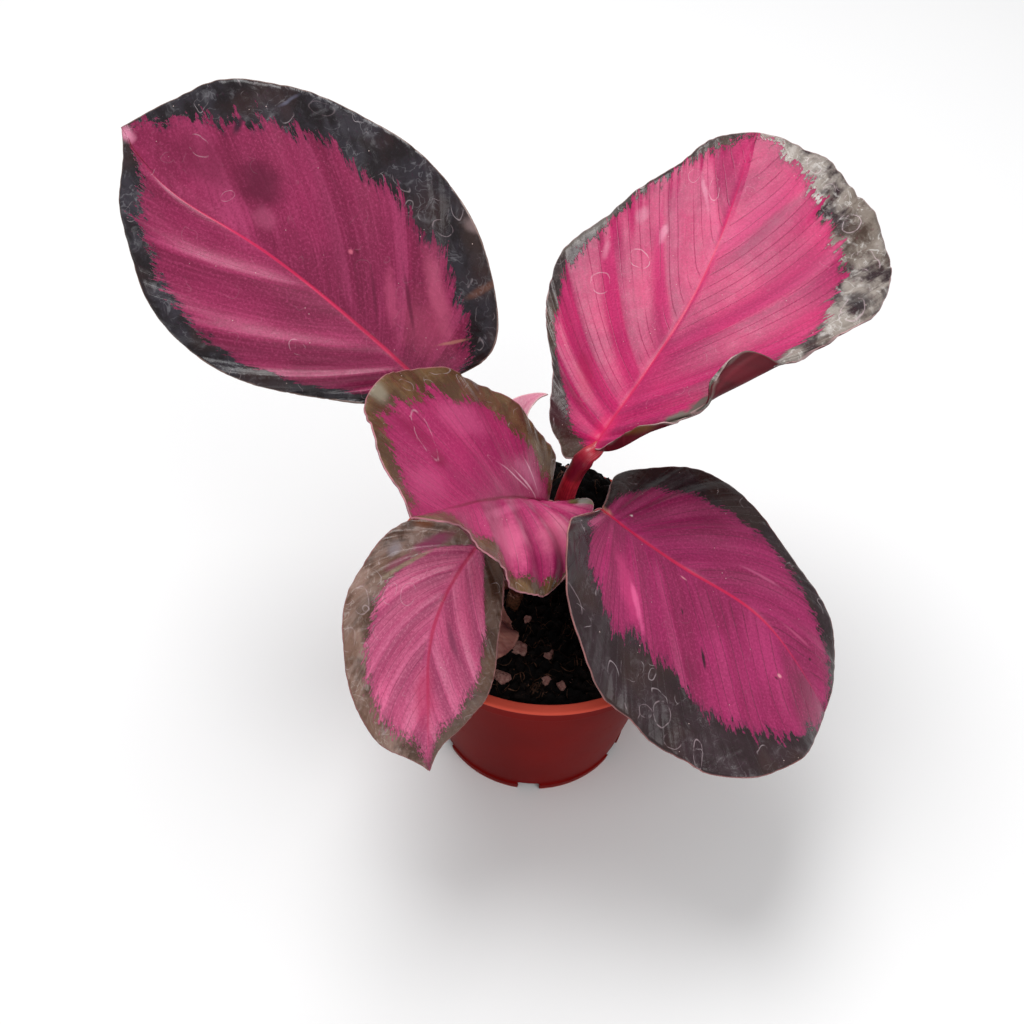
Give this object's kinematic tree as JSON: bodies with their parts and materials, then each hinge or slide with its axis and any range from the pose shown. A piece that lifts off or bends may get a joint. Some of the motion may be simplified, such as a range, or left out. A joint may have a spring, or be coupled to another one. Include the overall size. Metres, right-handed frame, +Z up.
{
  "type": "potted crimson calathea",
  "caption": "Young prayer plant with broad pink and crimson leaves on slender stalks, rooted in peat in a small tapered nursery pot.",
  "frame": {"origin": "middle of the pot's flat underside", "axes": "+Z up, out of the pot; -Y is the front of the plant, +X is to its right as seen from the front"},
  "size_m": [0.1352, 0.1092, 0.1202],
  "materials": {
    "pot": "glossy moulded plastic, brick red",
    "soil": "damp fibrous peat with grains of pumice",
    "roots": "matt, knobbly",
    "stalk": "smooth, slightly waxy, deep crimson",
    "leaf": "satin leaf, pink to crimson with a near-black or olive margin",
    "old_leaf": "dull, withered brown and maroon"
  },
  "bodies": {
    "root": {"pot": "pot", "soil": "soil", "crown_and_roots": "roots", "leaf_1_stalk": "stalk", "leaf_1_blade": "leaf", "leaf_2_stalk": "stalk", "leaf_2_blade": "leaf", "leaf_3_stalk": "stalk", "leaf_3_blade": "leaf", "leaf_4_stalk": "stalk", "leaf_4_blade": "leaf", "leaf_5_stalk": "stalk", "leaf_5_blade": "leaf", "leaf_6_stalk": "stalk", "leaf_6_blade": "leaf", "leaf_7_stalk": "old_leaf", "leaf_7_blade": "old_leaf"}
  },
  "joints": []
}
